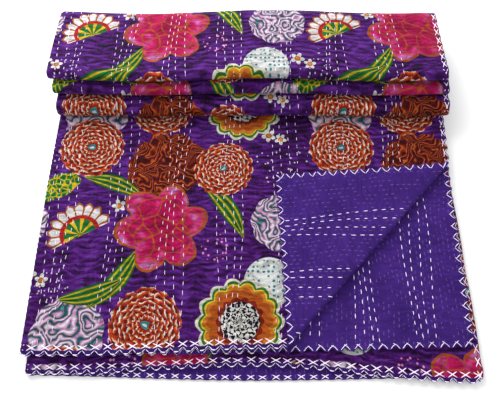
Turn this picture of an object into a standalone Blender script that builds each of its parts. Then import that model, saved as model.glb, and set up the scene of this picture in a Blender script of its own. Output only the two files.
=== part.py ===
"""A kantha quilt, folded in half across its width and pleated along its length, with one corner turned back.

The cloth is drawn flat first: u runs across it and v along it, as it was cut. Three folds then bring it
to the shape in which it lies. turn_corner lays one corner over, fold_across halves the width, and
fold_lengthwise carries the doubled cloth back and forth over a row of turns. Metres, +Z up, +Y to the back.
"""

import math
from collections import namedtuple

import bmesh
import bpy
from mathutils import Matrix, Vector

# The cloth as it was cut and how thick it is.
CLOTH_WIDTH = 1.52
CLOTH_THICKNESS = 0.0032
HALF_WIDTH = CLOTH_WIDTH / 2

# Half the distance between the middles of the two layers that the fold across makes.
LAYER_OFFSET = 0.0032
PAIR_HALF = LAYER_OFFSET + CLOTH_THICKNESS / 2

# Heights of the doubled cloth's middle: the lower run lies on the ground, the upper run on top of it.
LOWER_RUN_Z = PAIR_HALF
UPPER_RUN_Z = 0.0176

# The origin, measured from the middle of the width and back from the upper hem's mean line.
RIGHT_TO_ORIGIN = 0.0007
FRONT_TO_ORIGIN = 0.3104

# A turn of the doubled cloth: centre behind the upper hem, height, radius, and the way it turns.
# Up and over to the front is +1, and the other way round is -1.
Turn = namedtuple("Turn", "y z radius way steps")
SMALL_TURN = 0.0054
PUFFED_TURN = 0.0115
BACK_TURN = 0.0375
TURNS = (
    Turn(0.6040, UPPER_RUN_Z + SMALL_TURN, SMALL_TURN, +1, 6),
    Turn(0.4535, 0.0396, PUFFED_TURN, -1, 8),
    Turn(0.6000, 0.0450, SMALL_TURN, +1, 6),
    Turn(0.4780, 0.0668, SMALL_TURN, -1, 6),
    Turn(0.5960, 0.0671, SMALL_TURN, +1, 6),
    Turn(0.4960, 0.0878, SMALL_TURN, -1, 6),
    Turn(0.6300, LOWER_RUN_Z + BACK_TURN, BACK_TURN, -1, 10),
)
LOWER_HEM_Y = -0.040
RUN_STEP = 0.062

# The two hems that end the cloth, as a row of places across it: how far each comes forward there.
Hem = namedtuple("Hem", "u forward")
UPPER_HEM = (Hem(0.0, -0.007), Hem(0.317, 0.0), Hem(0.76, 0.011), Hem(1.10, 0.007), Hem(1.52, -0.003))
LOWER_HEM = (Hem(0.0, 0.003), Hem(0.38, 0.008), Hem(0.76, 0.000), Hem(1.14, -0.013), Hem(1.52, 0.013))
HEM_REACH = 0.16

# How far the folded cloth slides to the right along its length, so that the pleats don't line up.
Slide = namedtuple("Slide", "v right")
SLIDES = (
    Slide(0.0, -0.002),
    Slide(0.25, -0.001),
    Slide(0.50, 0.003),
    Slide(0.80, 0.005),
    Slide(1.10, 0.001),
    Slide(1.40, -0.005),
    Slide(1.62, -0.003),
    Slide(2.29, 0.006),
)

# The corner that is turned back: its legs along the upper hem and the side hem, and its turn.
CORNER_ALONG_HEM = 0.324
CORNER_ALONG_SIDE = 0.350
CORNER_TURN = 0.0036
CORNER_STEPS = 5

# Steps across the cloth in the layer that shows, round the fold at its side, and in the layer below.
SHOWN_STEPS = 12
FOLD_STEPS = 5
UNDER_STEPS = 8

# The soft unevenness of the pile: long waves that lift it by a share of its height, and a sway that
# shifts its top to the front and back. A wave has its span and the share of it at which it starts.
Wave = namedtuple("Wave", "span start")
LIFT_SHARE = 0.05
LIFT_ACROSS = Wave(0.62, 0.15)
LIFT_ALONG = Wave(0.52, 0.10)
SWAY = 0.004
SWAY_ACROSS = Wave(0.45, 0.19)
PILE_HEIGHT = 0.098

# Edges that meet at more than this angle stay sharp.
SHARP_ANGLE = math.radians(50)


def eased(rows, place):
    """The second column of a table at a place in its first column, eased between its rows."""
    if place <= rows[0][0]:
        return rows[0][1]
    for before, after in zip(rows, rows[1:]):
        if place <= after[0]:
            share = (place - before[0]) / (after[0] - before[0])
            share = share * share * (3 - 2 * share)
            return before[1] + share * (after[1] - before[1])
    return rows[-1][1]


def lengthwise_path():
    """The line of the doubled cloth's middle: straight runs between turns, as a belt lies on pulleys."""
    ends = [Turn(0.0, UPPER_RUN_Z, 0.0, +1, 1), *TURNS, Turn(LOWER_HEM_Y, LOWER_RUN_Z, 0.0, +1, 1)]
    pieces = []
    start = 0.0
    arriving = 0.0
    for here, following in zip(ends, ends[1:]):
        across = Vector((following.y - here.y, following.z - here.z))
        side = following.way * following.radius - here.way * here.radius
        run = math.sqrt(across.length_squared - side * side)
        heading = math.atan2(across.y, across.x) - math.atan2(side, run)
        if here.radius:
            swept = (heading - arriving) * here.way % math.tau
            pieces.append(("turn", start, swept * here.radius, here, arriving))
            start += swept * here.radius
        leaves = Vector((here.y, here.z)) - here.way * here.radius * Vector((-math.sin(heading), math.cos(heading)))
        pieces.append(("run", start, run, leaves, heading))
        start += run
        arriving = heading
    return pieces, start


PATH, CLOTH_LENGTH = lengthwise_path()


def fold_lengthwise(v, w):
    """Where a point of the doubled cloth lies: v along it, and w off its middle."""
    for kind, start, length, origin, heading in PATH:
        if v <= start + length:
            break
    along = v - start
    if kind == "run":
        middle = origin + along * Vector((math.cos(heading), math.sin(heading)))
    else:
        heading += origin.way * along / origin.radius
        middle = Vector((origin.y, origin.z))
        middle -= origin.way * origin.radius * Vector((-math.sin(heading), math.cos(heading)))
    return middle + w * Vector((-math.sin(heading), math.cos(heading)))


def fold_across(u, s):
    """Halves the cloth's width: the place to the right of its middle, and the height off the pair's middle."""
    fold_length = math.pi * LAYER_OFFSET
    flat = HALF_WIDTH - fold_length / 2
    right = HALF_WIDTH / 2
    if u <= flat:
        return right - u, LAYER_OFFSET + s
    if u >= flat + fold_length:
        return right - (CLOTH_WIDTH - u), -(LAYER_OFFSET + s)
    angle = (u - flat) / LAYER_OFFSET
    radius = LAYER_OFFSET + s
    return right - flat - radius * math.sin(angle), radius * math.cos(angle)


def corner_crease():
    """A point on the corner's crease, and the direction in the cloth from it towards the corner."""
    toward = Vector((-CORNER_ALONG_SIDE, -CORNER_ALONG_HEM)).normalized()
    return Vector((CORNER_ALONG_HEM, 0.0)), toward


def turn_corner(u, v, s):
    """Lays the corner between the upper hem and the side hem back over the cloth."""
    crease, toward = corner_crease()
    past = (Vector((u, v)) - crease).dot(toward)
    if past <= 0 or u > HALF_WIDTH or v > HALF_WIDTH:
        return u, v, s
    angle = min(past / CORNER_TURN, math.pi)
    radius = CORNER_TURN - s
    place = radius * math.sin(angle) - max(0.0, past - math.pi * CORNER_TURN)
    moved = Vector((u, v)) + (place - past) * toward
    return moved.x, moved.y, CORNER_TURN - radius * math.cos(angle)


def wave_at(wave, place):
    return math.sin(math.tau * (place / wave.span + wave.start))


def settle(x, y, z):
    """The soft unevenness of cloth that was folded by hand. The ground side stays flat."""
    lift = LIFT_SHARE * wave_at(LIFT_ACROSS, x) * wave_at(LIFT_ALONG, y)
    sway = SWAY * wave_at(SWAY_ACROSS, x) * z / PILE_HEIGHT
    return Vector((x, y + sway, z * (1 + lift)))


def folded(flat):
    """The place of a point of the flat cloth (u, v, s) once the quilt is folded."""
    u, v, s = turn_corner(*flat)
    x, w = fold_across(u, s)
    y, z = fold_lengthwise(v, w)
    return settle(x + eased(SLIDES, v), y, z) - Vector((RIGHT_TO_ORIGIN, FRONT_TO_ORIGIN, 0))


def steps_between(low, high, count):
    return [low + (high - low) * i / count for i in range(1, count + 1)]


def lines_across():
    """Where the flat cloth has its lines across its width."""
    fold_length = math.pi * LAYER_OFFSET
    flat = HALF_WIDTH - fold_length / 2
    return [
        0.0,
        *steps_between(0.0, flat, SHOWN_STEPS),
        *steps_between(flat, flat + fold_length, FOLD_STEPS),
        *steps_between(flat + fold_length, CLOTH_WIDTH, UNDER_STEPS),
    ]


def lines_along():
    """Where the flat cloth has its lines along its length: closer together in the turns."""
    lines = [0.0]
    for kind, start, length, origin, _ in PATH:
        count = math.ceil(length / RUN_STEP) if kind == "run" else origin.steps
        lines += steps_between(start, start + length, count)
    return lines


def uneven_hems(u, v):
    """The cloth's place along its length, with its two end hems as uneven as they were sewn."""
    upper = max(0.0, 1 - v / HEM_REACH)
    lower = max(0.0, 1 - (CLOTH_LENGTH - v) / HEM_REACH)
    return v - upper * eased(UPPER_HEM, u) + lower * eased(LOWER_HEM, u)


def flat_cloth():
    """The flat slab of cloth, with a line wherever it will bend."""
    across, along = lines_across(), lines_along()
    bm = bmesh.new()
    columns, rows = len(across) - 1, len(along) - 1
    centred = Matrix.Translation((columns / 2, rows / 2, 0)) @ Matrix.Diagonal((columns / 2, rows / 2, 1, 1))
    bmesh.ops.create_grid(bm, x_segments=columns, y_segments=rows, size=1, matrix=centred)
    for vert in bm.verts:
        u, v = across[round(vert.co.x)], along[round(vert.co.y)]
        vert.co = (u, uneven_hems(u, v), 0)
    crease, toward = corner_crease()
    for step in range(CORNER_STEPS + 1):
        place = crease + toward * (math.pi * CORNER_TURN * step / CORNER_STEPS)
        everything = [*bm.verts, *bm.edges, *bm.faces]
        bmesh.ops.bisect_plane(
            bm, geom=everything, dist=1e-5, plane_co=(*place, 0), plane_no=(*toward, 0)
        )
    bmesh.ops.recalc_face_normals(bm, faces=bm.faces)
    bmesh.ops.solidify(bm, geom=bm.faces[:], thickness=CLOTH_THICKNESS)
    middle = sum(vert.co.z for vert in bm.verts) / len(bm.verts)
    for vert in bm.verts:
        vert.co.z = math.copysign(CLOTH_THICKNESS / 2, vert.co.z - middle)
    return bm


def printed_cotton():
    material = bpy.data.materials.new("printed cotton")
    material.use_nodes = True
    shader = material.node_tree.nodes["Principled BSDF"]
    shader.inputs["Base Color"].default_value = (0.08, 0.016, 0.18, 1)
    shader.inputs["Roughness"].default_value = 0.85
    shader.inputs["Metallic"].default_value = 0.0
    return material


def make_quilt():
    """The quilt: one cloth, printed on one side and plain on the other, hemmed all round."""
    bm = flat_cloth()
    for vert in bm.verts:
        vert.co = folded(vert.co)
    bmesh.ops.triangulate(bm, faces=bm.faces[:])
    bmesh.ops.recalc_face_normals(bm, faces=bm.faces)
    mesh = bpy.data.meshes.new("quilt")
    bm.to_mesh(mesh)
    bm.free()
    mesh.materials.append(printed_cotton())
    mesh.shade_smooth()
    mesh.set_sharp_from_angle(angle=SHARP_ANGLE)
    quilt = bpy.data.objects.new("quilt", mesh)
    bpy.context.scene.collection.objects.link(quilt)
    return quilt


def main():
    for old in list(bpy.data.objects):
        bpy.data.objects.remove(old)
    make_quilt()


main()
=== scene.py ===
"""The looks of a folded kantha quilt: its cloth, its print, its running stitch and its crossed hem stitch.

The cloth is drawn flat first: u runs across it, v along it and s through it, from the plain side to the
printed side. Folding functions then bring cloth and stitches alike to the shape in which they lie.
"""

import math
import random
from collections import namedtuple

import bmesh
import bpy
from mathutils import Matrix, Vector


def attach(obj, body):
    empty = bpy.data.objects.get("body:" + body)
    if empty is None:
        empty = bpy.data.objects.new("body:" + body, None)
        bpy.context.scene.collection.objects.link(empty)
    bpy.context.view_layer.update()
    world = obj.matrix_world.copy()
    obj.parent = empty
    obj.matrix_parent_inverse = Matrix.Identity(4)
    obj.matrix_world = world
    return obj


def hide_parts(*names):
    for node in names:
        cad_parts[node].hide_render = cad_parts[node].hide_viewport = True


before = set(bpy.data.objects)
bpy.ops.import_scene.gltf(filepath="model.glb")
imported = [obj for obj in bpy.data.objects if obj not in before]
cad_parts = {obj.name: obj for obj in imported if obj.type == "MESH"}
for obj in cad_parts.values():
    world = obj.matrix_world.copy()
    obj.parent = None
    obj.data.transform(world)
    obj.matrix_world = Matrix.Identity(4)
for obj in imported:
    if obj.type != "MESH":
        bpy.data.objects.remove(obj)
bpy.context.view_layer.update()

# ---------------------------------------------------------------- the cloth and its folds, in metres

CLOTH_WIDTH = 1.52
CLOTH_THICKNESS = 0.0032
HALF_WIDTH = CLOTH_WIDTH / 2
LAYER_OFFSET = 0.0032
FOLD_LENGTH = math.pi * LAYER_OFFSET
BEFORE_FOLD = HALF_WIDTH - FOLD_LENGTH / 2
AFTER_FOLD = BEFORE_FOLD + FOLD_LENGTH
LOWER_RUN_Z = LAYER_OFFSET + CLOTH_THICKNESS / 2
UPPER_RUN_Z = 0.0176
RIGHT_TO_ORIGIN = 0.0007
FRONT_TO_ORIGIN = 0.3104

# Each turn of the doubled cloth: the middle of its bend, the way it turns, and the spacing of its lines.
Turn = namedtuple("Turn", "y z radius way step")
SMALL_TURN = 0.0054
PUFFED_TURN = 0.0115
BACK_TURN = 0.0375
TURNS = (
    Turn(0.6040, UPPER_RUN_Z + SMALL_TURN, SMALL_TURN, +1, 0.0030),
    Turn(0.4535, 0.0396, PUFFED_TURN, -1, 0.0025),
    Turn(0.6000, 0.0450, SMALL_TURN, +1, 0.0030),
    Turn(0.4780, 0.0668, SMALL_TURN, -1, 0.0020),
    Turn(0.5960, 0.0671, SMALL_TURN, +1, 0.0030),
    Turn(0.4960, 0.0878, SMALL_TURN, -1, 0.0020),
    Turn(0.6300, LOWER_RUN_Z + BACK_TURN, BACK_TURN, -1, 0.0045),
)
LOWER_HEM_Y = -0.040

# How far the two end hems stand forward of even ones.
Hem = namedtuple("Hem", "u forward")
UPPER_HEM = (Hem(0.0, -0.007), Hem(0.317, 0.0), Hem(0.76, 0.011), Hem(1.10, 0.007), Hem(1.52, -0.003))
LOWER_HEM = (Hem(0.0, 0.003), Hem(0.38, 0.008), Hem(0.76, 0.000), Hem(1.14, -0.013), Hem(1.52, 0.013))
HEM_REACH = 0.16

# How far the layers have slid to the right of each other.
Slide = namedtuple("Slide", "v right")
SLIDES = (
    Slide(0.0, -0.002), Slide(0.25, -0.001), Slide(0.50, 0.003), Slide(0.80, 0.005),
    Slide(1.10, 0.001), Slide(1.40, -0.005), Slide(1.62, -0.003), Slide(2.29, 0.006),
)

# The turned corner: where its crease meets the upper hem and the side hem, and the radius of its bend.
CORNER_ALONG_HEM = 0.324
CORNER_ALONG_SIDE = 0.350
CORNER_TURN = 0.0036
CORNER_STEPS = 6

# The pile's height goes up and down by a share of itself, and its top sways forward and back.
Wave = namedtuple("Wave", "span start")
LIFT_SHARE = 0.05
LIFT_ACROSS = Wave(0.62, 0.15)
LIFT_ALONG = Wave(0.52, 0.10)
SWAY = 0.004
SWAY_ACROSS = Wave(0.45, 0.19)
PILE_HEIGHT = 0.098

# Spacing of the cloth's lines where it shows and where it is hidden inside the pile.
SHOWN_ACROSS = 0.0105
HIDDEN_ACROSS = 0.040
SHOWN_ALONG = 0.0034
HIDDEN_ALONG = 0.025
SHOWN_MAIN = 0.470
UNDER_SHOWN_FROM = 1.17
NOSE_REACH = 0.030
FOLD_STEPS = 6
ROUNDING = 1e-6
ON_THE_CREASE = 1e-5

# The crossed stitch along the hems: its pitch, and how far it draws the hem in, so that rounded lobes
# stand between the stitches.
CROSS_PITCH = 0.0208
HEM_PINCH = 0.0065
PINCH_REACH = SHOWN_ACROSS
LOBE_CUTS = 2
# The half of the lower hem that lies on the ground is pressed almost straight, and so are the side hems
# behind the turned corner. The two corners of the right side hem are drawn in until they are blunt.
PinchShare = namedtuple("PinchShare", "place share")
LOWER_PINCH = (PinchShare(0.73, 0.2), PinchShare(0.77, 1.0))
SIDE_PINCH = (PinchShare(0.36, 1.0), PinchShare(0.44, 0.25))
CORNER_PINCH = 0.0060
CORNER_REACH = 0.0140

# The rows of stitching draw the cloth into low ripples that run across it. They are lower where the cloth
# is folded tight, so that no layer reaches through the next. They bend, and they swell and fade.
RIPPLE_PITCH = 0.0105
Ripple = namedtuple("Ripple", "v height")
RIPPLES = (Ripple(0.41, 0.00075), Ripple(0.44, 0.00038))
Bend = namedtuple("Bend", "share across along")
RIPPLE_BENDS = (Bend(0.30, 0.31, math.inf), Bend(0.18, 0.083, 0.27))
SWELL_SHARE = 0.35
SWELL_ACROSS = 0.12
SWELL_BEND = Bend(0.35, math.inf, 0.19)


def eased(rows, place):
    """The second column of a table at a place in its first column, eased between its rows."""
    if place <= rows[0][0]:
        return rows[0][1]
    for before, after in zip(rows, rows[1:]):
        if place <= after[0]:
            share = (place - before[0]) / (after[0] - before[0])
            share = share * share * (3 - 2 * share)
            return before[1] + share * (after[1] - before[1])
    return rows[-1][1]


def square_to(heading):
    """The unit vector that points to the left of a heading."""
    return Vector((-math.sin(heading), math.cos(heading)))


def lengthwise_path():
    """The line of the doubled cloth's middle: straight runs between turns, as a belt lies on pulleys."""
    ends = [Turn(0.0, UPPER_RUN_Z, 0.0, +1, 1), *TURNS, Turn(LOWER_HEM_Y, LOWER_RUN_Z, 0.0, +1, 1)]
    pieces = []
    start = 0.0
    arriving = 0.0
    for here, following in zip(ends, ends[1:]):
        across = Vector((following.y - here.y, following.z - here.z))
        side = following.way * following.radius - here.way * here.radius
        run = math.sqrt(across.length_squared - side * side)
        heading = math.atan2(across.y, across.x) - math.atan2(side, run)
        if here.radius:
            swept = (heading - arriving) * here.way % math.tau
            pieces.append(("turn", start, swept * here.radius, here, arriving))
            start += swept * here.radius
        leaves = Vector((here.y, here.z)) - here.way * here.radius * square_to(heading)
        pieces.append(("run", start, run, leaves, heading))
        start += run
        arriving = heading
    return pieces, start


PATH, CLOTH_LENGTH = lengthwise_path()


def fold_lengthwise(v, w):
    """Where a point of the doubled cloth lies: v along it, and w off its middle."""
    for kind, start, length, origin, heading in PATH:
        if v <= start + length:
            break
    along = v - start
    if kind == "run":
        middle = origin + along * Vector((math.cos(heading), math.sin(heading)))
    else:
        heading += origin.way * along / origin.radius
        middle = Vector((origin.y, origin.z)) - origin.way * origin.radius * square_to(heading)
    return middle + w * square_to(heading)


def fold_across(u, s):
    """Halves the cloth's width: the place right of its middle, and the height off the pair's middle."""
    right = HALF_WIDTH / 2
    if u <= BEFORE_FOLD:
        return right - u, LAYER_OFFSET + s
    if u >= AFTER_FOLD:
        return right - (CLOTH_WIDTH - u), -(LAYER_OFFSET + s)
    angle = (u - BEFORE_FOLD) / LAYER_OFFSET
    radius = LAYER_OFFSET + s
    return right - BEFORE_FOLD - radius * math.sin(angle), radius * math.cos(angle)


def corner_crease():
    """A point on the corner's crease, and the direction in the cloth from it towards the corner."""
    toward = Vector((-CORNER_ALONG_SIDE, -CORNER_ALONG_HEM)).normalized()
    return Vector((CORNER_ALONG_HEM, 0.0)), toward


def past_crease(u, v):
    """How far past the crease a place in the cloth lies, towards the corner."""
    crease, toward = corner_crease()
    return (Vector((u, v)) - crease).dot(toward)


def turn_corner(u, v, s):
    """Lays the corner between the upper hem and the side hem back over the cloth."""
    past = past_crease(u, v)
    if past <= 0 or u > HALF_WIDTH or v > HALF_WIDTH:
        return u, v, s
    angle = min(past / CORNER_TURN, math.pi)
    radius = CORNER_TURN - s
    place = radius * math.sin(angle) - max(0.0, past - math.pi * CORNER_TURN)
    moved = Vector((u, v)) + (place - past) * corner_crease()[1]
    return moved.x, moved.y, CORNER_TURN - radius * math.cos(angle)


def wave_at(wave, place):
    """A wave's height at a place along it, from -1 to 1."""
    return math.sin(math.tau * (place / wave.span + wave.start))


def settle(x, y, z):
    """The soft unevenness of cloth that was folded by hand. The ground side stays flat."""
    lift = LIFT_SHARE * wave_at(LIFT_ACROSS, x) * wave_at(LIFT_ALONG, y)
    sway = SWAY * wave_at(SWAY_ACROSS, x) * z / PILE_HEIGHT
    return Vector((x, y + sway, z * (1 + lift)))


def uneven_hems(u, v):
    """The cloth's place along its length, with its two end hems as uneven as they were sewn."""
    upper = max(0.0, 1 - v / HEM_REACH)
    lower = max(0.0, 1 - (CLOTH_LENGTH - v) / HEM_REACH)
    return v - upper * eased(UPPER_HEM, u) + lower * eased(LOWER_HEM, u)


def notch(place, hem_length):
    """How far a hem is drawn in at a place along it: most at the middle of each crossed stitch."""
    stitches = round(hem_length / CROSS_PITCH)
    return HEM_PINCH * (1 - abs(math.cos(math.pi * stitches * place / hem_length)))


def corner_pull(u, v):
    """How far the two blunt corners are drawn in. The turned corner keeps its point."""
    to_corner = max(CLOTH_WIDTH - u, min(v, CLOTH_LENGTH - v))
    return CORNER_PINCH * max(0.0, 1 - to_corner / CORNER_REACH)


def drawn_in(place, width, near_pull, far_pull):
    """A place between two opposite hems, once each is drawn in by its own pull."""
    near = near_pull * max(0.0, 1 - place / PINCH_REACH)
    far = far_pull * max(0.0, 1 - (width - place) / PINCH_REACH)
    return place + near - far


def bent(bend, u, v):
    """How far a bend moves the ripples at a place, in shares of the distance between two of them."""
    return bend.share * math.sin(math.tau * (u / bend.across + v / bend.along))


def ripple(u, v):
    """How far the cloth stands up between two rows of stitching."""
    wander = sum(bent(bend, u, v) for bend in RIPPLE_BENDS)
    swell = SWELL_SHARE * math.sin(math.tau * (u / SWELL_ACROSS + bent(SWELL_BEND, u, v)))
    height = eased(RIPPLES, v) * (1 - SWELL_SHARE + swell)
    return height * math.sin(math.tau * (v / RIPPLE_PITCH + wander))


def folded(u, v, s):
    """The place of a point of the even, flat cloth once the quilt is folded. The ground presses it flat."""
    raised = s + ripple(u, v)
    side = notch(v, CLOTH_LENGTH) * eased(SIDE_PINCH, v)
    upper = notch(u, CLOTH_WIDTH)
    lower = upper * eased(LOWER_PINCH, u)
    corner = corner_pull(u, v)
    across = drawn_in(u, CLOTH_WIDTH, side, max(side, corner))
    along = uneven_hems(u, drawn_in(v, CLOTH_LENGTH, max(upper, corner), max(lower, corner)))
    u, v, s = turn_corner(across, along, raised)
    x, w = fold_across(u, s)
    y, z = fold_lengthwise(v, w)
    place = settle(x + eased(SLIDES, v), y, z) - Vector((RIGHT_TO_ORIGIN, FRONT_TO_ORIGIN, 0))
    place.z = max(0.0, place.z)
    return place


def shown_stretches():
    """The stretches of the cloth's length that show from above, from the front or from behind."""
    stretches = [(0.0, SHOWN_MAIN)]
    fronts = [
        (start, start + length) for kind, start, length, turn, _ in PATH if kind == "turn" and turn.way < 0
    ]
    for start, end in fronts[:-2]:
        stretches.append((start - NOSE_REACH, end + NOSE_REACH))
    stretches.append((fronts[-2][0] - NOSE_REACH, fronts[-1][1] + NOSE_REACH))
    stretches.append((CLOTH_LENGTH - NOSE_REACH, CLOTH_LENGTH))
    return stretches


# ---------------------------------------------------------------- the cloth

def spread(places, spacing):
    """Lines between the given places, evenly spread and no further apart than spacing says."""
    lines = [places[0]]
    for low, high in zip(places, places[1:]):
        count = math.ceil((high - low) / spacing((low + high) / 2) - ROUNDING)
        lines += [low + (high - low) * i / count for i in range(1, count + 1)]
    return lines


def lines_across():
    """Where the cloth's lines stand across it: close where it shows and round its fold."""
    def spacing(u):
        if BEFORE_FOLD < u < AFTER_FOLD:
            return FOLD_LENGTH / FOLD_STEPS
        return HIDDEN_ACROSS if BEFORE_FOLD < u < UNDER_SHOWN_FROM else SHOWN_ACROSS

    return spread([0.0, BEFORE_FOLD, AFTER_FOLD, UNDER_SHOWN_FROM, CLOTH_WIDTH], spacing)


def lines_along():
    """Where the cloth's lines stand along it: close where it shows and round its turns."""
    stretches = shown_stretches()
    places = {0.0, CLOTH_LENGTH, *(end for stretch in stretches for end in stretch)}
    places |= {end for _, start, length, _, _ in PATH for end in (start, start + length)}

    def spacing(v):
        for kind, start, length, turn, _ in PATH:
            if kind == "turn" and start < v < start + length:
                return turn.step
        return SHOWN_ALONG if any(low < v < high for low, high in stretches) else HIDDEN_ALONG

    return spread(sorted(places), spacing)


def end_hem_edges(bm):
    """The edges along the two end hems, where the cloth shows, that need more points for the hem's lobes."""
    chosen = []
    for edge in bm.edges:
        low, high = sorted((vert.co for vert in edge.verts), key=lambda place: place.x)
        to_hem = min(low.y, CLOTH_LENGTH - low.y)
        shown = high.x - low.x < HIDDEN_ACROSS / 2
        if low.y == high.y and to_hem < PINCH_REACH - SHOWN_ALONG and shown:
            chosen.append(edge)
    return chosen


def make_cloth(printed, plain):
    """The quilted cloth: a grid thickened to a slab, with its flat place kept as its UV map, then folded."""
    across, along = lines_across(), lines_along()
    columns, rows = len(across) - 1, len(along) - 1
    bm = bmesh.new()
    centred = Matrix.Translation((columns / 2, rows / 2, 0)) @ Matrix.Diagonal((columns / 2, rows / 2, 1, 1))
    bmesh.ops.create_grid(bm, x_segments=columns, y_segments=rows, size=1, matrix=centred)
    for vert in bm.verts:
        vert.co = (across[round(vert.co.x)], along[round(vert.co.y)], 0)
    bmesh.ops.subdivide_edges(bm, edges=end_hem_edges(bm), cuts=LOBE_CUTS)
    crease, toward = corner_crease()
    for step in range(CORNER_STEPS + 1):
        place = crease + toward * (math.pi * CORNER_TURN * step / CORNER_STEPS)
        near = [*bm.verts, *bm.edges, *bm.faces]
        bmesh.ops.bisect_plane(
            bm, geom=near, dist=ON_THE_CREASE, plane_co=(*place, 0), plane_no=(*toward, 0)
        )
    bmesh.ops.recalc_face_normals(bm, faces=bm.faces)
    bmesh.ops.solidify(bm, geom=bm.faces[:], thickness=CLOTH_THICKNESS)
    middle = sum(vert.co.z for vert in bm.verts) / len(bm.verts)
    for vert in bm.verts:
        vert.co.z = math.copysign(CLOTH_THICKNESS / 2, vert.co.z - middle)
    bm.normal_update()
    flat_place = bm.loops.layers.uv.new("cloth")
    for face in bm.faces:
        heights = [vert.co.z for vert in face.verts]
        face.material_index = 0 if min(heights) > 0 else 1
        face.smooth = True
        for loop in face.loops:
            loop[flat_place].uv = loop.vert.co.xy
    for vert in bm.verts:
        vert.co = folded(*vert.co)
    bmesh.ops.recalc_face_normals(bm, faces=bm.faces)
    return finished("quilted cloth", bm, "printed_cotton", printed, plain)


def finished(name, bm, slot, *materials):
    """Makes an object of a bmesh, which rides on the quilt's body and takes the materials given. The slot is
    not used.
    """
    mesh = bpy.data.meshes.new(name)
    bm.to_mesh(mesh)
    bm.free()
    for material in materials:
        mesh.materials.append(material)
    piece = bpy.data.objects.new(name.replace(" ", "_"), mesh)
    bpy.context.scene.collection.objects.link(piece)
    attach(piece, "root")
    return piece


# ---------------------------------------------------------------- the stitches

# On the printed side the running stitch sinks between the ridges, so less of the thread shows.
RUNNING_THREAD = 0.0014
SUNK_THREAD = 0.0010
HEM_THREAD = 0.0019
THREAD_FLATNESS = 0.7
BEAD_SIDES, BEAD_RINGS = 6, 4
STITCHES_AT_ONCE = 120
STITCH_SEED = 5

# Rows of running stitch along the cloth, in groups, with the cloth's own colour of thread between them.
GROUP_PITCH = 0.1023
GROUP_START = 0.090
ROWS_IN_GROUP = 4
ROW_PITCH = 0.013
STITCH_PITCH = 0.0166
STITCH_LENGTH = 0.0086
STITCH_SHARES = (0.75, 1.15)
STITCH_LEAN = 0.0004
ROW_UNEVEN = 0.0014
# Each row wanders in a wave that starts by the place of its group and by its own place in the group.
ROW_WANDER = 0.0050
WANDER_SPAN = 0.40
WANDER_BY_GROUP = 3
WANDER_BY_ROW = 0.15
# The rows stop short of the left fold and of the corner's crease. The turned corner reaches this far along.
FOLD_CLEAR = 0.006
CREASE_CLEAR = 0.012
TURNED_SHOWN = 0.36

# The crossed stitch that holds the hems. On the printed side the crosses of an end hem stand on the
# binding's edge, and a row below them hangs in bows under the hem's lobes. On the plain side it shows as
# lone vees, in some of which one arm runs past the point. On the under half of the upper hem both arms do,
# and on the lower hem the plain side shows low crosses.
CROSS_REACH = 0.0105
CROSS_FOOT = 0.0010
CROSS_HALVES = (0.38, 0.46)
END_CROSS_REACH = 0.0173
END_CROSS_FOOT = 0.0074
BINDING_ROW_REACH = 0.0040
BOW_HALF = 0.20
VEE_REACH = 0.0112
VEE_HALF = 0.38
VEE_PAST = 0.0024
UNDER_VEE_REACH = 0.0085
UNDER_VEE_PAST = 0.0042
UNDER_PAST_SHARES = (0.3, 1)
LOW_CROSS_REACH = 0.0085
LOW_CROSS_HALF = 0.33
CROSS_UNEVEN = 0.0014
NEARLY = (0.92, 1.08)
ROUGHLY = (0.85, 1.15)

Stitch = namedtuple("Stitch", "start end side thread")


def sewn_group(name, stitches, material):
    """Joins stitches to one piece. Each is a flattened bead of thread that lies on the folded cloth."""
    bead = bmesh.new()
    lying = Matrix.Rotation(math.pi / 2, 4, "Y")
    bmesh.ops.create_uvsphere(bead, u_segments=BEAD_SIDES, v_segments=BEAD_RINGS, radius=1, matrix=lying)
    round_bead = bpy.data.meshes.new("bead")
    bead.to_mesh(round_bead)
    bead.free()
    whole = bmesh.new()
    for first in range(0, len(stitches), STITCHES_AT_ONCE):
        part = bmesh.new()
        for stitch in stitches[first:first + STITCHES_AT_ONCE]:
            before = len(part.verts)
            part.from_mesh(round_bead)
            part.verts.ensure_lookup_table()
            lay_thread(part.verts[before:], stitch)
        joined = bpy.data.meshes.new("joined stitches")
        part.to_mesh(joined)
        part.free()
        whole.from_mesh(joined)
        bpy.data.meshes.remove(joined)
    bpy.data.meshes.remove(round_bead)
    for face in whole.faces:
        face.smooth = True
    bmesh.ops.recalc_face_normals(whole, faces=whole.faces)
    return finished(name, whole, "white_thread", material)


def lay_thread(verts, stitch):
    """Stretches a round bead from a stitch's start to its end, on the side of the cloth that it shows on."""
    start, end = Vector(stitch.start), Vector(stitch.end)
    half = (end - start) / 2
    beside = Vector((-half.y, half.x)).normalized() * stitch.thread / 2
    for vert in verts:
        along, sideways, up = vert.co
        u, v = (start + end) / 2 + along * half + sideways * beside
        raised = up * stitch.thread * THREAD_FLATNESS / 2
        vert.co = folded(u, v, stitch.side * (CLOTH_THICKNESS / 2 + raised))


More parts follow.
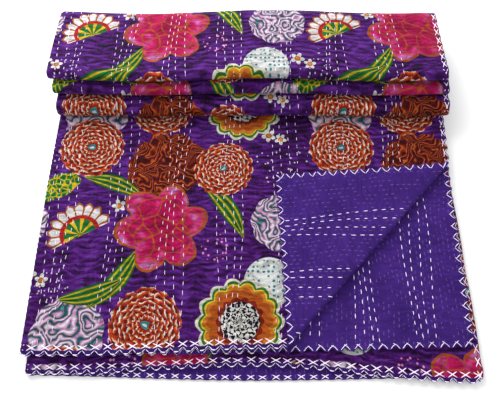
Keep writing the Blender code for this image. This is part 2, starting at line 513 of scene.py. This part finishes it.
def running_rows(side, low_u, high_u, stretches, shows, chance):
    """Dashes along the cloth's length, in groups of rows that wander a little."""
    stitches = []
    thread = SUNK_THREAD if side > 0 else RUNNING_THREAD
    group_u = GROUP_START
    while group_u < CLOTH_WIDTH:
        for row in range(ROWS_IN_GROUP):
            row_u = group_u + row * ROW_PITCH + chance.uniform(-ROW_UNEVEN, ROW_UNEVEN)
            shift = chance.uniform(0, STITCH_PITCH)
            wander = Wave(WANDER_SPAN, group_u * WANDER_BY_GROUP + row * WANDER_BY_ROW)
            for low, high in stretches:
                v = low + shift
                while v < high:
                    length = STITCH_LENGTH * chance.uniform(*STITCH_SHARES)
                    u, ahead = (row_u + ROW_WANDER * wave_at(wander, place) for place in (v, v + length))
                    off_hems = CROSS_REACH < v < CLOTH_LENGTH - CROSS_REACH - length
                    if off_hems and low_u < u < high_u and shows(u, v):
                        lean = chance.uniform(-STITCH_LEAN, STITCH_LEAN)
                        stitches.append(Stitch((u, v), (ahead + lean, v + length), side, thread))
                    v += STITCH_PITCH
        group_u += GROUP_PITCH
    return stitches


def crossed_hems(side, chance):
    """The stitches along all four hems: crosses, and on the plain side of all but the lower hem vees."""
    hems = (
        ((0, 0), (CLOTH_WIDTH, 0), (0, 1), True),
        ((0, CLOTH_LENGTH), (CLOTH_WIDTH, CLOTH_LENGTH), (0, -1), True),
        ((0, 0), (0, CLOTH_LENGTH), (1, 0), False),
        ((CLOTH_WIDTH, 0), (CLOTH_WIDTH, CLOTH_LENGTH), (-1, 0), False),
    )
    stitches = []
    for start, end, inward, is_end in hems:
        start, end, inward = Vector(start), Vector(end), Vector(inward)
        count = round((end - start).length / CROSS_PITCH)
        step = (end - start) / count
        middle, onward = step / 2, step.normalized()
        two_rows = is_end and side > 0
        low = start.y > 0 and side < 0
        for i in range(count):
            here = start + step * i
            under = is_end and side < 0 and here.x > HALF_WIDTH and not low
            reach = (
                END_CROSS_REACH if two_rows else CROSS_REACH if side > 0
                else LOW_CROSS_REACH if low else UNDER_VEE_REACH if under else VEE_REACH
            )
            edge, head = inward * CROSS_FOOT, inward * reach * chance.uniform(*NEARLY)
            foot = inward * END_CROSS_FOOT if two_rows else edge
            if side > 0 or low:
                half = step * (LOW_CROSS_HALF if low else chance.uniform(*CROSS_HALVES))
                arms = [(middle - half + foot, middle + half + head),
                        (middle - half + head, middle + half + foot)]
            else:
                half = step * VEE_HALF * chance.uniform(*ROUGHLY)
                if under:
                    past, back = (UNDER_VEE_PAST * chance.uniform(*UNDER_PAST_SHARES) for _ in range(2))
                else:
                    past, back = VEE_PAST * max(0.0, chance.uniform(-1, 1)), 0.0
                arms = [(middle - half + edge, middle + head + (inward + onward) * past),
                        (middle + head + (inward - onward) * back, middle + half + edge)]
            if two_rows:
                peak = middle + inward * BINDING_ROW_REACH * chance.uniform(*ROUGHLY)
                bow = step * BOW_HALF
                arms += [(bow + edge, peak), (peak, step - bow + edge)]
                if i < count - 1:
                    arms.append((step - bow + edge, step + bow + edge))
            slip = onward * chance.uniform(-CROSS_UNEVEN, CROSS_UNEVEN)
            stitches += [Stitch(here + slip + a, here + slip + b, side, HEM_THREAD) for a, b in arms]
    return stitches


def make_stitches(material):
    """All the white sewing: on the print where it shows, on the turned corner and on the plain side below."""
    chance = random.Random(STITCH_SEED)
    stretches = shown_stretches()
    upper = (0, HALF_WIDTH - FOLD_CLEAR, stretches, lambda u, v: v > HALF_WIDTH or past_crease(u, v) < 0)
    turned = (0, HALF_WIDTH, [(0.0, TURNED_SHOWN)], lambda u, v: past_crease(u, v) > CREASE_CLEAR)
    below = (UNDER_SHOWN_FROM, CLOTH_WIDTH, [(0.0, SHOWN_MAIN)], lambda u, v: True)
    plain_rows = running_rows(-1, *turned, chance) + running_rows(-1, *below, chance)
    return [
        sewn_group("running stitch on the print", running_rows(+1, *upper, chance), material),
        sewn_group("running stitch on the plain side", plain_rows, material),
        sewn_group("crossed hem stitch on the print", crossed_hems(+1, chance), material),
        sewn_group("crossed hem stitch on the plain side", crossed_hems(-1, chance), material),
    ]


# ---------------------------------------------------------------- finishes

def linear(hex_colour):
    """An sRGB colour such as 3b1663 as the linear numbers that a shader takes."""
    channels = [int(hex_colour[i:i + 2], 16) / 255 for i in (0, 2, 4)]
    return (*(c / 12.92 if c <= 0.04045 else ((c + 0.055) / 1.055) ** 2.4 for c in channels), 1)


def add(tree, kind, *inputs, stops=(), **settings):
    """Adds a node with its settings, fills its inputs in their order, and gives the output that it shows.

    A colour ramp also takes stops, as (place, sRGB hex), and its settings are those of its band.
    """
    node = tree.nodes.new("ShaderNode" + kind)
    holder = node.color_ramp if stops else node
    for name, value in settings.items():
        setattr(holder, name, value)
    if stops:
        for _ in stops[2:]:
            holder.elements.new(0.5)
        for element, (place, shade) in zip(holder.elements, stops):
            element.position = place
            element.color = linear(shade)
    sockets = [socket for socket in node.inputs if socket.enabled]
    for socket, value in zip(sockets, inputs):
        if isinstance(value, bpy.types.NodeSocket):
            tree.links.new(value, socket)
        elif value is not None:
            socket.default_value = value
    return next(socket for socket in node.outputs if socket.enabled)


def new_material(name, values):
    """A material whose even values are set on its shader's own sockets, with its tree and its shader."""
    material = bpy.data.materials.new(name)
    material.use_nodes = True
    shader = material.node_tree.nodes["Principled BSDF"]
    for socket, value in values.items():
        shader.inputs[socket].default_value = value
    return material, material.node_tree, shader


# In the functions down to the list of motifs, lengths are shares of a motif's radius, and the scale of a
# noise or of cells says how many of them lie along it.

def polar(tree, place):
    """Distance from the middle and angle round it, as sockets."""
    x, y = add(tree, "SeparateXYZ", place).node.outputs[:2]
    return add(tree, "VectorMath", place, operation="LENGTH"), add(tree, "Math", y, x, operation="ARCTAN2")


def shaken(tree, place, scale, amount):
    """A place moved a little by noise, so that what is drawn there has the wobble of a hand-cut block."""
    noise = add(tree, "TexNoise", place, scale, 1.0).node.outputs[1]
    centred = add(tree, "VectorMath", noise, (0.5, 0.5, 0.5), operation="SUBTRACT")
    moved = add(tree, "VectorMath", centred, (amount, amount, 0), operation="MULTIPLY")
    return add(tree, "VectorMath", place, moved, operation="ADD")


def scallops(tree, angle, count, depth):
    """The edge of a round flower with a number of rounded lobes, in shares of its radius."""
    lobes = add(tree, "Math", add(tree, "Math", angle, count / 2, operation="MULTIPLY"), operation="COSINE")
    lobes = add(tree, "Math", lobes, operation="ABSOLUTE")
    return add(tree, "Math", lobes, depth, 1 - depth, operation="MULTIPLY_ADD")


def waves(tree, amount, count):
    """A sine wave along an amount, with so many whole waves in each unit of it."""
    turned = add(tree, "Math", amount, count * math.tau, operation="MULTIPLY")
    return add(tree, "Math", turned, operation="SINE")


def contours(tree, noise, count):
    """Turns a smooth noise into bands that follow its contours, from 0 to 1."""
    return add(tree, "Math", waves(tree, noise, count), 0.5, 0.5, operation="MULTIPLY_ADD")


def scattered(tree, place, count, size):
    """Small spots loose in a round: the distance from the middle of the nearest, and where they lie."""
    spots = add(tree, "TexVoronoi", place, count)
    distance = add(tree, "VectorMath", place, operation="LENGTH")
    spot = add(tree, "Math", spots, size, operation="LESS_THAN")
    near = add(tree, "Math", distance, 1.0, operation="LESS_THAN")
    return spots, add(tree, "Math", spot, near, operation="MULTIPLY")


def dahlia(tree, place):
    """Crowded rings of small orange scales round a teal eye, each with a pale rim and a dark red root."""
    moved = shaken(tree, shaken(tree, place, 4.0, 0.16), 13.0, 0.10)
    distance, angle = polar(tree, moved)
    rings = add(tree, "Math", distance, 8.0, operation="MULTIPLY")
    ring = add(tree, "Math", rings, operation="FLOOR")
    out = add(tree, "Math", rings, operation="FRACT")
    scales = add(tree, "Math", angle, 28 / math.tau, ring, operation="MULTIPLY_ADD")
    across = add(tree, "Math", scales, 1.0, operation="PINGPONG")
    bow = add(tree, "Math", across, 2.0, operation="POWER")
    scale = add(tree, "Math", bow, -0.6, out, operation="MULTIPLY_ADD")
    colour = add(tree, "ValToRGB", scale, stops=(
        (0.0, "7a140c"), (0.15, "b4280e"), (0.40, "cf4c14"), (0.60, "dc7c30"), (0.70, "fff2e6"),
        (0.84, "fff2e6"), (0.92, "8f3a12"),
    ))
    eye = add(
        tree, "ValToRGB", distance, stops=((0.0, "f4f0ea"), (0.05, "1f8a92"), (0.11, "8c2412")),
        interpolation="CONSTANT",
    )
    in_eye = add(tree, "Math", distance, 0.14, operation="LESS_THAN")
    colour = add(tree, "Mix", in_eye, colour, eye, data_type="RGBA")
    return colour, add(tree, "Math", distance, scallops(tree, angle, 18, 0.06), operation="LESS_THAN")


def blossom(tree, place):
    """Deep magenta petals with lavender-pink lights near their tips and wandering orange outlines."""
    moved = shaken(tree, place, 2.0, 0.22)
    distance, angle = polar(tree, moved)
    share = add(tree, "Math", distance, scallops(tree, angle, 6, 0.30), operation="DIVIDE")
    patches = add(tree, "TexNoise", place, 3.4, 3.0)
    shade = add(tree, "Math", share, 0.42, patches, operation="MULTIPLY_ADD")
    colour = add(tree, "ValToRGB", shade, stops=(
        (0.40, "8e0638"), (0.60, "b50c4c"), (0.80, "cc1560"), (0.92, "d84a8e"), (1.00, "cf82c4"),
    ))
    edges = add(tree, "TexVoronoi", moved, 2.6, feature="DISTANCE_TO_EDGE")
    veins = add(tree, "Math", edges, 0.028, operation="LESS_THAN")
    outline = add(tree, "Math", share, 0.945, operation="GREATER_THAN")
    orange = add(tree, "Math", veins, outline, operation="MAXIMUM")
    colour = add(tree, "Mix", orange, colour, linear("b8581a"), data_type="RGBA")
    return colour, add(tree, "Math", share, 1.0, operation="LESS_THAN")


def marbled(tree, place):
    """A round bloom of wandering white, pink, lavender and dark teal bands."""
    noise = add(tree, "TexNoise", shaken(tree, place, 2.6, 0.4), 1.7, 0.0)
    colour = add(tree, "ValToRGB", contours(tree, noise, 8), interpolation="CONSTANT", stops=(
        (0.0, "2c5a62"), (0.14, "5f9a98"), (0.26, "7a5a94"), (0.36, "d690c4"), (0.60, "e8b4da"),
        (0.88, "f6eef6"),
    ))
    distance, angle = polar(tree, place)
    return colour, add(tree, "Math", distance, scallops(tree, angle, 9, 0.07), operation="LESS_THAN")


def fan(tree, place):
    """White scallops in a half round, outlined in rust, with a red ring and a striped foot."""
    distance, angle = polar(tree, shaken(tree, place, 3.0, 0.06))
    ribs = add(tree, "Math", angle, 9 / math.pi, operation="MULTIPLY")
    across = add(tree, "Math", ribs, 0.5, operation="PINGPONG")
    rounding = add(tree, "Math", across, operation="SQRT")
    edge = add(tree, "Math", rounding, 0.30, 0.78, operation="MULTIPLY_ADD")
    share = add(tree, "Math", distance, edge, operation="DIVIDE")
    colour = add(
        tree, "ValToRGB", across, stops=((0.0, "a8501a"), (0.07, "d98338"), (0.12, "f4f1f2")),
        interpolation="CONSTANT",
    )
    outline = add(tree, "Math", share, 0.93, operation="GREATER_THAN")
    colour = add(tree, "Mix", outline, colour, linear("c06a22"), data_type="RGBA")
    ring = add(tree, "Math", distance, 0.53, 0.06, operation="COMPARE")
    colour = add(tree, "Mix", ring, colour, linear("c6231f"), data_type="RGBA")
    stripes = add(tree, "Math", ribs, 1.0, operation="PINGPONG")
    striped = add(
        tree, "ValToRGB", stripes, stops=((0.0, "f0c41f"), (0.38, "1f7a35")), interpolation="CONSTANT"
    )
    foot = add(tree, "Math", distance, 0.47, operation="LESS_THAN")
    colour = add(tree, "Mix", foot, colour, striped, data_type="RGBA")
    y = add(tree, "SeparateXYZ", place).node.outputs[1]
    upper = add(tree, "Math", y, -0.06, operation="GREATER_THAN")
    within = add(tree, "Math", share, 1.0, operation="LESS_THAN")
    return colour, add(tree, "Math", within, upper, operation="MULTIPLY")


def sunflower(tree, place):
    """Broad orange scallops with a cream and green rim, and a crumbled black and white middle."""
    distance, angle = polar(tree, shaken(tree, place, 3.0, 0.07))
    share = add(tree, "Math", distance, scallops(tree, angle, 14, 0.12), operation="DIVIDE")
    colour = add(tree, "ValToRGB", share, interpolation="CONSTANT", stops=(
        (0.0, "8a2410"), (0.50, "8a2410"), (0.55, "c45c18"), (0.74, "d98426"), (0.83, "f0cf2a"),
        (0.87, "2f7a33"), (0.93, "f0ead2"),
    ))
    crumbled, crumbled_angle = polar(tree, shaken(tree, place, 9.0, 0.22))
    turns = add(tree, "Math", crumbled_angle, 20 / math.tau, operation="MULTIPLY")
    rings = add(tree, "Math", crumbled, 15.0, operation="MULTIPLY")
    together = add(tree, "CombineXYZ", turns, rings, 0.5)
    check = add(tree, "TexChecker", together, linear("17151d"), linear("f4f1ea"), 1.0)
    centre = add(tree, "Math", distance, 0.44, operation="LESS_THAN")
    colour = add(tree, "Mix", centre, colour, check, data_type="RGBA")
    return colour, add(tree, "Math", share, 1.0, operation="LESS_THAN")


def frill(tree, place):
    """A ragged bloom of dark red scrolls with orange between them."""
    moved = shaken(tree, place, 2.4, 0.6)
    noise = add(tree, "TexNoise", moved, 2.0, 0.0)
    colour = add(tree, "ValToRGB", contours(tree, noise, 12), interpolation="CONSTANT", stops=(
        (0.0, "4a0c10"), (0.22, "6e140e"), (0.55, "8a2410"), (0.86, "b04414"), (0.96, "cc6a28"),
    ))
    distance, angle = polar(tree, moved)
    return colour, add(tree, "Math", distance, scallops(tree, angle, 11, 0.12), operation="LESS_THAN")


def cobbled_leaf(tree, place):
    """A broad green leaf with a net of yellow veins."""
    edges = add(tree, "TexVoronoi", place, 4.2, feature="DISTANCE_TO_EDGE")
    colour = add(
        tree, "ValToRGB", edges, stops=((0.0, "e9c41c"), (0.07, "2f8a30"), (0.22, "175c2a")),
        interpolation="CONSTANT",
    )
    distance, angle = polar(tree, add(tree, "VectorMath", place, (1.0, 1.9, 1.0), operation="MULTIPLY"))
    return colour, add(tree, "Math", distance, scallops(tree, angle, 7, 0.10), operation="LESS_THAN")


def buds(tree, place):
    """A loose cluster of small pink buds, with the ground showing between them."""
    spots, shown = scattered(tree, place, 3.2, 0.30)
    stops = ((0.0, "f0a6d8"), (0.20, "d869b4"))
    return add(tree, "ValToRGB", spots, stops=stops, interpolation="CONSTANT"), shown


def flecks(tree, place):
    """A loose scatter of small white flecks on the ground."""
    return linear("e6dcee"), scattered(tree, place, 5.5, 0.20)[1]


def leaf(tree, place):
    """A long pointed green leaf, with yellow stripes that run from its root to its tip."""
    x, y = add(tree, "SeparateXYZ", place).node.outputs[:2]
    squared = add(tree, "Math", x, x, operation="MULTIPLY")
    off_rib = add(tree, "Math", squared, -0.16, y, operation="MULTIPLY_ADD")
    width = add(tree, "Math", squared, -0.26, 0.26, operation="MULTIPLY_ADD")
    share = add(tree, "Math", off_rib, width, operation="DIVIDE")
    stripes = add(tree, "Math", share, 1.6, operation="MULTIPLY")
    stripes = add(tree, "Math", stripes, 0.5, operation="PINGPONG")
    colour = add(tree, "ValToRGB", stripes, interpolation="CONSTANT", stops=(
        (0.0, "e0b81a"), (0.12, "6f9a26"), (0.18, "2c7a2e"), (0.38, "17552a"),
    ))
    off_rib = add(tree, "Math", off_rib, operation="ABSOLUTE")
    return colour, add(tree, "Math", off_rib, width, operation="LESS_THAN")


def small_flower(tree, place):
    """Five small white petals round an orange middle."""
    distance, angle = polar(tree, place)
    share = add(tree, "Math", distance, scallops(tree, angle, 5, 0.6), operation="DIVIDE")
    colour = add(
        tree, "ValToRGB", distance, stops=((0.0, "ef8a2c"), (0.3, "7c3a1c"), (0.4, "f0ece6")),
        interpolation="CONSTANT",
    )
    return colour, add(tree, "Math", share, 1.0, operation="LESS_THAN")


def dotted(tree, place):
    """A white round with teal dots in rather even rows."""
    dots = add(tree, "TexVoronoi", place, 5.0)
    dots.node.inputs["Randomness"].default_value = 0.35
    stops = ((0.0, "3f8d92"), (0.30, "eef0ee"))
    colour = add(tree, "ValToRGB", dots, stops=stops, interpolation="CONSTANT")
    distance = add(tree, "VectorMath", place, operation="LENGTH")
    return colour, add(tree, "Math", distance, 1.0, operation="LESS_THAN")


Motif = namedtuple("Motif", "draw u v radius turn")

# The print repeats across and along the cloth. Later rows lie over earlier ones.
REPEAT_ACROSS = 0.48
REPEAT_ALONG = 0.42
MOTIFS = (
    Motif(dotted, 0.345, 0.112, 0.044, 0.0),
    Motif(frill, 0.060, 0.335, 0.074, 0.4),
    Motif(marbled, 0.205, 0.030, 0.064, 0.0),
    Motif(leaf, 0.130, 0.118, 0.066, 0.9),
    Motif(leaf, 0.172, 0.096, 0.060, 0.3),
    Motif(leaf, 0.420, 0.250, 0.066, 2.2),
    Motif(leaf, 0.150, 0.300, 0.062, 2.8),
    Motif(cobbled_leaf, 0.258, 0.292, 0.046, 0.5),
    Motif(blossom, 0.060, 0.215, 0.086, 0.2),
    Motif(sunflower, 0.395, 0.045, 0.076, 0.0),
    Motif(dahlia, 0.075, 0.045, 0.062, 0.0),
    Motif(dahlia, 0.205, 0.375, 0.062, 0.5),
    Motif(dahlia, 0.430, 0.330, 0.056, 1.0),
    Motif(marbled, 0.322, 0.222, 0.056, 1.3),
    Motif(fan, 0.205, 0.200, 0.062, 0.5),
    Motif(flecks, 0.318, 0.345, 0.052, 0.4),
    Motif(flecks, 0.250, 0.118, 0.040, 1.2),
    Motif(buds, 0.440, 0.175, 0.026, 0.7),
    Motif(small_flower, 0.140, 0.255, 0.013, 0.0),
    Motif(small_flower, 0.285, 0.130, 0.014, 0.5),
    Motif(small_flower, 0.262, 0.118, 0.012, 0.9),
    Motif(small_flower, 0.345, 0.400, 0.014, 0.2),
    Motif(small_flower, 0.322, 0.392, 0.012, 0.4),
)


def motif_group(draw):
    """A motif drawn once, in a frame in which its radius is 1."""
    group = bpy.data.node_groups.new(draw.__name__, "ShaderNodeTree")
    group.interface.new_socket("Place", in_out="INPUT", socket_type="NodeSocketVector")
    group.interface.new_socket("Colour", in_out="OUTPUT", socket_type="NodeSocketColor")
    group.interface.new_socket("Inside", in_out="OUTPUT", socket_type="NodeSocketFloat")
    place = group.nodes.new("NodeGroupInput").outputs[0]
    result = group.nodes.new("NodeGroupOutput")
    colour, mask = draw(group, place)
    if isinstance(colour, tuple):
        result.inputs[0].default_value = colour
    else:
        group.links.new(colour, result.inputs[0])
    group.links.new(mask, result.inputs[1])
    return group


def flower_print(tree, place, ground):
    """The print: motifs on a dark ground, each wrapped round so that the repeat has no seam."""
    groups = {draw: motif_group(draw) for draw in dict.fromkeys(motif.draw for motif in MOTIFS)}
    half = Vector((REPEAT_ACROSS / 2, REPEAT_ALONG / 2, 1))
    colour = ground
    for motif in MOTIFS:
        beside = add(tree, "VectorMath", place, (motif.u, motif.v, 0), operation="SUBTRACT")
        wrapped = add(tree, "VectorMath", beside, half, -half, operation="WRAP")
        turned = add(tree, "Mapping", wrapped, None, (0, 0, motif.turn), [1 / motif.radius] * 3)
        drawn = add(tree, "Group", turned, node_tree=groups[motif.draw])
        colour = add(tree, "Mix", drawn.node.outputs[1], colour, drawn, data_type="RGBA")
    return colour


# Weave: threads are about 0.4 mm apart, too fine to show at this distance, so it is drawn at 1.2 mm.
WEAVE_PITCH = 0.0012
# Rows of thread in the cloth's own colour lie between the white ones. They wobble, some of their stitches
# are sunk out of sight, and the rest stand above the weave. Each row starts at its own place, so that the
# stitches of two rows don't line up. Widths and lengths are shares of the two pitches.
TONE_ROW_PITCH = 0.0080
TONE_ROW_HALF = 0.09
TONE_ROW_SHIFT = 0.618
TONE_ROW_WOBBLE = (7.0, 0.03)
TONE_STITCH_PITCH = 0.0105
TONE_STITCH_SHARE = 0.55
TONE_STITCH_HEIGHT = 2.2
SUNK_PER_METRE = 60.0
BINDING_WIDTH = 0.0080


def woven_height(tree, place):
    """Height of the weave and of the stitches in the cloth's own colour, and where their thread shows."""
    u, v = add(tree, "SeparateXYZ", place).node.outputs[:2]
    warp, weft = (waves(tree, axis, 1 / WEAVE_PITCH) for axis in (u, v))
    weave = add(tree, "Math", warp, weft, operation="MULTIPLY")
    across = add(tree, "SeparateXYZ", shaken(tree, place, *TONE_ROW_WOBBLE))
    rows = add(tree, "Math", across, 1 / TONE_ROW_PITCH, operation="MULTIPLY")
    off_row = add(tree, "Math", rows, 0.5, operation="PINGPONG")
    row = add(tree, "Math", off_row, TONE_ROW_HALF, operation="LESS_THAN")
    row_start = add(tree, "Math", rows, operation="ROUND")
    row_start = add(tree, "Math", row_start, TONE_ROW_SHIFT, operation="MULTIPLY")
    steps = add(tree, "Math", v, 1 / TONE_STITCH_PITCH, row_start, operation="MULTIPLY_ADD")
    steps = add(tree, "Math", steps, operation="FRACT")
    dash = add(tree, "Math", steps, TONE_STITCH_SHARE, operation="LESS_THAN")
    sewn = add(tree, "Math", row, dash, operation="MULTIPLY")
    sunk = add(tree, "TexNoise", place, SUNK_PER_METRE, 2.0)
    showing = add(tree, "Math", sunk, 0.50, operation="GREATER_THAN")
    stitch = add(tree, "Math", sewn, showing, operation="MULTIPLY")
    return add(tree, "Math", sewn, TONE_STITCH_HEIGHT, weave, operation="MULTIPLY_ADD"), stitch


# The stitching gathers the cloth into short bent ridges, about 10 mm apart along it and 30 mm long across
# it. A noise repeats at about one and a half times its own scale.
PUCKER_PITCH = 0.0065
PUCKER_SPAN = 0.024
PUCKER_BEND = (26.0, 0.03)


def puckers(tree, place):
    """Height of the small uneven ridges that the rows of stitching draw up, for the bump and the painted
    shade.
    """
    moved = shaken(tree, place, *PUCKER_BEND)
    stretched = add(tree, "VectorMath", moved, (1 / PUCKER_SPAN, 1 / PUCKER_PITCH, 0), operation="MULTIPLY")
    return add(tree, "TexNoise", stretched, 1.0, 2.0)


def crests(tree, place):
    """0 in the valleys and 1 on the crests of the ripples into which the cloth itself is shaped."""
    u, v = add(tree, "SeparateXYZ", place).node.outputs[:2]
    turns = add(tree, "Math", v, 1 / RIPPLE_PITCH, operation="MULTIPLY")
    for bend in RIPPLE_BENDS:
        along = add(tree, "Math", v, math.tau / bend.along, operation="MULTIPLY")
        angle = add(tree, "Math", u, math.tau / bend.across, along, operation="MULTIPLY_ADD")
        angle = add(tree, "Math", angle, operation="SINE")
        turns = add(tree, "Math", angle, bend.share, turns, operation="MULTIPLY_ADD")
    return contours(tree, turns, 1)


def hem_share(tree, place):
    """1 on the plain strips that bind the two end hems, else 0. At the sides the print reaches the edge."""
    v = add(tree, "SeparateXYZ", place).node.outputs[1]
    ahead = add(tree, "Math", v, CLOTH_LENGTH / 2, operation="SUBTRACT")
    from_middle = add(tree, "Math", ahead, operation="ABSOLUTE")
    return add(tree, "Math", from_middle, CLOTH_LENGTH / 2 - BINDING_WIDTH, operation="GREATER_THAN")


# Each side of the cloth: painted shade, deeper in the valleys of its puckers than on their ridges, the
# ridges' height, and how far the stitches in its own colour stand out. The stitching gathers the printed side
# into ridges, and the plain side lies smoother.
ShadedSide = namedtuple("ShadedSide", "valley crest ridge_height tone_share")
PRINTED_SIDE = ShadedSide("989898", "cacaca", 0.0033, 0.12)
PLAIN_SIDE = ShadedSide("b2b2b2", "cacaca", 0.0018, 0.50)
VALLEY_AT, CREST_AT = 0.36, 0.62
WEAVE_STRENGTH = 0.35
WEAVE_HEIGHT = 0.0003
WORN_PER_METRE = 14.0
# Painted shade: the ground is darker in the valleys between the ridges, and a little lighter on the crests of
# the cloth's ripples. The dye also took unevenly, over patches as broad as a hand.
PATCHES_PER_METRE = 8.0
PATCH_SHARE = 0.7
RIPPLE_SHADE_SHARE = 0.20
PUCKER_SHADE_LEVEL = 0.45
DYE_AND_SHADE = ((0.20, "280630"), (0.32, "380a48"), (0.48, "4c116e"), (0.60, "5b1e84"), (0.76, "693196"))

# The shaders' even values, for soft cotton cloth, for its thread and for a matt floor.
COTTON = {"Roughness": 0.85, "Sheen Weight": 0.02, "Sheen Roughness": 0.5, "Specular IOR Level": 0.08}
THREAD = {"Roughness": 0.8, "Sheen Weight": 0.2}
FLOOR = {"Base Color": linear("f4f4f4"), "Roughness": 0.9}
# The thread's loose fibres are too fine to show, so they are drawn about half a millimetre apart.
FIBRES_PER_METRE = 1800.0


def ground_dye_and_shade(tree, place, raised):
    """The print's dark purple ground, uneven from the dye, with painted shade in the valleys of the cloth."""
    patches = add(tree, "TexNoise", place, PATCHES_PER_METRE, 1.0)
    # Painted shade: the ground goes darker where the puckers sink and where the ripples dip.
    pucker_shade = add(tree, "Math", raised, PUCKER_SHADE_LEVEL, operation="SUBTRACT")
    uneven = add(tree, "Math", patches, PATCH_SHARE, pucker_shade, operation="MULTIPLY_ADD")
    uneven = add(tree, "Math", crests(tree, place), RIPPLE_SHADE_SHARE, uneven, operation="MULTIPLY_ADD")
    return add(tree, "ValToRGB", uneven, stops=DYE_AND_SHADE)


def cotton(name, printed):
    """Light plain-woven cotton, soft from washing: matt, with a faint sheen where it bends away from the eye.
    """
    material, tree, shader = new_material(name, COTTON)
    side = PRINTED_SIDE if printed else PLAIN_SIDE
    place = add(tree, "UVMap", uv_map="cloth")
    height, stitch = woven_height(tree, place)
    raised = puckers(tree, place)
    worn = add(tree, "TexNoise", place, WORN_PER_METRE, 4.0)
    if printed:
        bound = add(tree, "ValToRGB", worn, stops=((0.3, "38186e"), (0.7, "462082")))
        colour = flower_print(tree, place, ground_dye_and_shade(tree, place, raised))
        colour = add(tree, "Mix", hem_share(tree, place), colour, bound, data_type="RGBA")
    else:
        colour = add(tree, "ValToRGB", worn, stops=((0.3, "42207d"), (0.7, "512c92")))
    thread = add(tree, "Mix", side.tone_share, colour, linear("8f74cc"), data_type="RGBA")
    colour = add(tree, "Mix", stitch, colour, thread, data_type="RGBA")
    # Painted shade: the whole colour, print and ground alike, is darkened over the puckers, most in their
    # valleys.
    painted_shade = add(tree, "ValToRGB", raised, stops=((VALLEY_AT, side.valley), (CREST_AT, side.crest)))
    colour = add(tree, "Mix", 1.0, colour, painted_shade, data_type="RGBA", blend_type="MULTIPLY")
    tree.links.new(colour, shader.inputs["Base Color"])
    weave = add(tree, "Bump", WEAVE_STRENGTH, WEAVE_HEIGHT, None, height)
    pucker = add(tree, "Bump", 1.0, side.ridge_height, None, raised, weave)
    tree.links.new(pucker, shader.inputs["Normal"])
    return material


def cotton_thread():
    """Soft white embroidery cotton, loosely twisted: matt and a little fuzzy."""
    material, tree, shader = new_material("white embroidery cotton", THREAD)
    place = add(tree, "TexCoord").node.outputs["Object"]
    fluff = add(tree, "TexNoise", place, FIBRES_PER_METRE, 2.0)
    colour = add(tree, "ValToRGB", fluff, stops=((0.3, "e2d2f2"), (0.65, "faecff")))
    tree.links.new(colour, shader.inputs["Base Color"])
    return material


# ---------------------------------------------------------------- floor, light and camera

CAMERA_ABOVE = 0.8824
CAMERA_BEFORE_HEM = 0.0728
CAMERA_ELEVATION = math.radians(68.5)
LENS = SENSOR = 36
FLOOR_HALF = 4
LAMP_PLACE = Vector((-0.7, 1.15, 0.95))
LAMP_SIZE = 1.3
LAMP_WATTS = 39


def make_camera():
    """Stands where the photograph was taken from, high and close in front of the quilt."""
    camera = bpy.data.cameras.new("camera")
    camera.lens, camera.sensor_width = LENS, SENSOR
    holder = bpy.data.objects.new("camera", camera)
    holder.location = (-RIGHT_TO_ORIGIN, -FRONT_TO_ORIGIN - CAMERA_BEFORE_HEM, CAMERA_ABOVE)
    holder.rotation_euler = (math.pi / 2 - CAMERA_ELEVATION, 0, 0)
    bpy.context.scene.collection.objects.link(holder)
    bpy.context.scene.camera = holder


def make_floor():
    """A plain pale floor. It is matt, so that it shows soft shadows and no reflections."""
    bm = bmesh.new()
    bmesh.ops.create_grid(bm, x_segments=1, y_segments=1, size=FLOOR_HALF)
    mesh = bpy.data.meshes.new("floor")
    bm.to_mesh(mesh)
    bm.free()
    mesh.materials.append(new_material("pale matt floor", FLOOR)[0])
    floor = bpy.data.objects.new("floor", mesh)
    bpy.context.scene.collection.objects.link(floor)
    return floor


def make_light():
    """A wide soft box above the back left, with an even pale surround."""
    lamp = bpy.data.lights.new("soft box", "AREA")
    lamp.shape, lamp.size, lamp.energy = "SQUARE", LAMP_SIZE, LAMP_WATTS
    holder = bpy.data.objects.new("soft box", lamp)
    holder.location = LAMP_PLACE
    holder.rotation_euler = (-LAMP_PLACE).to_track_quat("-Z", "Y").to_euler()
    bpy.context.scene.collection.objects.link(holder)
    world = bpy.data.worlds.new("pale surround")
    world.use_nodes = True
    background = world.node_tree.nodes["Background"]
    background.inputs["Color"].default_value = linear("ffffff")
    background.inputs["Strength"].default_value = 1.0
    bpy.context.scene.world = world
    bpy.context.scene.view_settings.view_transform = "Standard"


def main():
    make_camera()
    floor = make_floor()
    make_light()
    cloth = make_cloth(cotton("printed plain-woven cotton", True), cotton("dyed plain-woven cotton", False))
    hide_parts("quilt")
    stitches = make_stitches(cotton_thread())


main()
